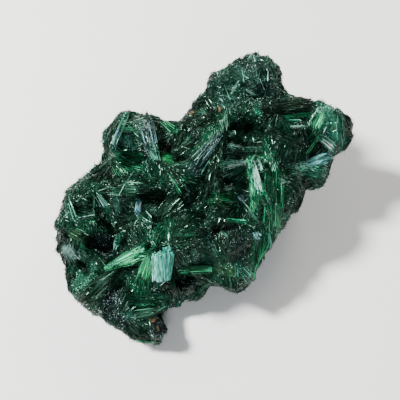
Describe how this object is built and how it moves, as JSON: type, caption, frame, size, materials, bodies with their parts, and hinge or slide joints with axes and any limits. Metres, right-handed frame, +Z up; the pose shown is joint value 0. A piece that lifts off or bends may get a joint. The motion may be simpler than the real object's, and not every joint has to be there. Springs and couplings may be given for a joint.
{
  "type": "rough malachite specimen",
  "caption": "Rough piece of fibrous malachite: an uneven green mass of radiating crystal sprays with a domed end, ridges, pits and a low tip, resting on a flat underside.",
  "frame": {"origin": "on the resting plane, below the middle of the piece's bounding box", "axes": "+X along the longest side towards the domed end, +Y towards the back, +Z up from the flat underside"},
  "size_m": [0.103, 0.0754, 0.0475],
  "materials": {
    "malachite": "silky, fibrous broken crystal"
  },
  "bodies": {
    "root": {"malachite": "malachite"}
  },
  "joints": []
}
